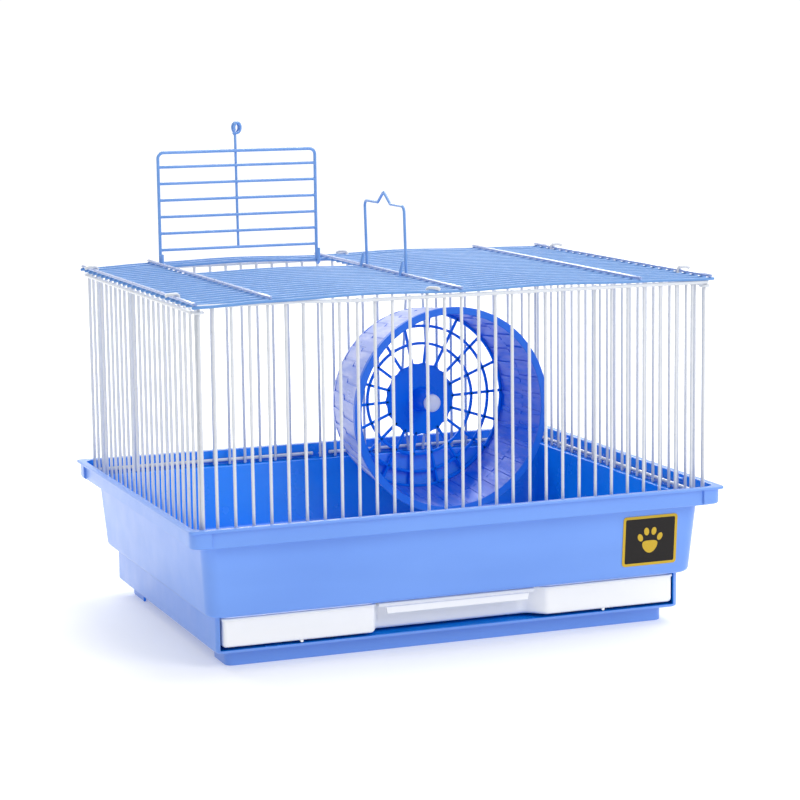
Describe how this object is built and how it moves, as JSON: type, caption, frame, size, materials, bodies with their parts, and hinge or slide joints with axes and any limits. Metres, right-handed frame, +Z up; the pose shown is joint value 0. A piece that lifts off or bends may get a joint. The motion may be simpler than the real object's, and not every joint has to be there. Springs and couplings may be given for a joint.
{
  "type": "hamster cage",
  "caption": "Wire-topped hamster cage on a moulded plastic tub with a slide-out litter drawer, a hinged roof door, a folding handle and a running wheel on the back wires.",
  "frame": {"origin": "under the middle of the base, on the plane the feet rest on", "axes": "+Z up, -Y is the front with the drawer, +X runs along the long side to the right as seen from the front"},
  "size_m": [0.3556, 0.277, 0.3216],
  "materials": {
    "tub_plastic": "satin",
    "drawer_plastic": "satin",
    "label_print": "matte",
    "white_wire": "gloss",
    "blue_wire": "gloss",
    "wheel_plastic": "gloss",
    "cap_plastic": "satin",
    "axle_steel": "brushed"
  },
  "bodies": {
    "base": {"base_tub": "tub_plastic", "front_label": "label_print"},
    "drawer": {"drawer_tray": "drawer_plastic"},
    "wire_top": {"front_uprights": "white_wire", "front_hook_wire": "white_wire", "front_top_rail": "white_wire", "front_bottom_rail": "white_wire", "back_uprights": "white_wire", "back_hook_wire": "white_wire", "back_top_rail": "white_wire", "back_bottom_rail": "white_wire", "left_uprights": "white_wire", "left_hook_wires": "white_wire", "left_top_rail": "white_wire", "left_bottom_rail": "white_wire", "right_uprights": "white_wire", "right_hook_wires": "white_wire", "right_top_rail": "white_wire", "right_bottom_rail": "white_wire", "roof_wires_front": "blue_wire", "roof_wires_left": "blue_wire", "roof_wires_right": "blue_wire", "roof_wires_rear": "blue_wire", "roof_left_end_bar": "blue_wire", "roof_left_bar": "blue_wire", "roof_handle_bar": "blue_wire", "roof_right_bar": "blue_wire", "roof_right_end_bar": "blue_wire", "wheel_mount": "cap_plastic", "wheel_mount_nut": "cap_plastic", "wheel_axle": "axle_steel", "axle_cap": "cap_plastic"},
    "wheel": {"wheel_drum": "wheel_plastic", "wheel_web": "wheel_plastic", "wheel_boss": "wheel_plastic"},
    "roof_door": {"door_frame": "blue_wire", "door_bars": "blue_wire", "door_latch_wire": "blue_wire"},
    "handle": {"carry_handle": "blue_wire"}
  },
  "joints": [
    {"name": "drawer_slide", "type": "slide", "parent": "base", "child": "drawer", "axis": [0, -1, 0], "range_m": [0, 0.21]},
    {"name": "wire_top_lift", "type": "slide", "parent": "base", "child": "wire_top", "axis": [0, 0, 1], "range_m": [0, 0.15]},
    {"name": "wheel_spin", "type": "hinge", "parent": "wire_top", "child": "wheel", "pos_m": [0.07125, 0.09, 0.1195], "axis": [0, -1, 0], "continuous": true},
    {"name": "roof_door_hinge", "type": "hinge", "parent": "wire_top", "child": "roof_door", "pos_m": [-0.0645, 0.1105, 0.2244], "axis": [1, 0, 0], "range_deg": [-50, 90]},
    {"name": "handle_fold", "type": "hinge", "parent": "wire_top", "child": "handle", "pos_m": [-0.0015, 0, 0.22642], "axis": [0, 1, 0], "range_deg": [-82, 86]}
  ]
}
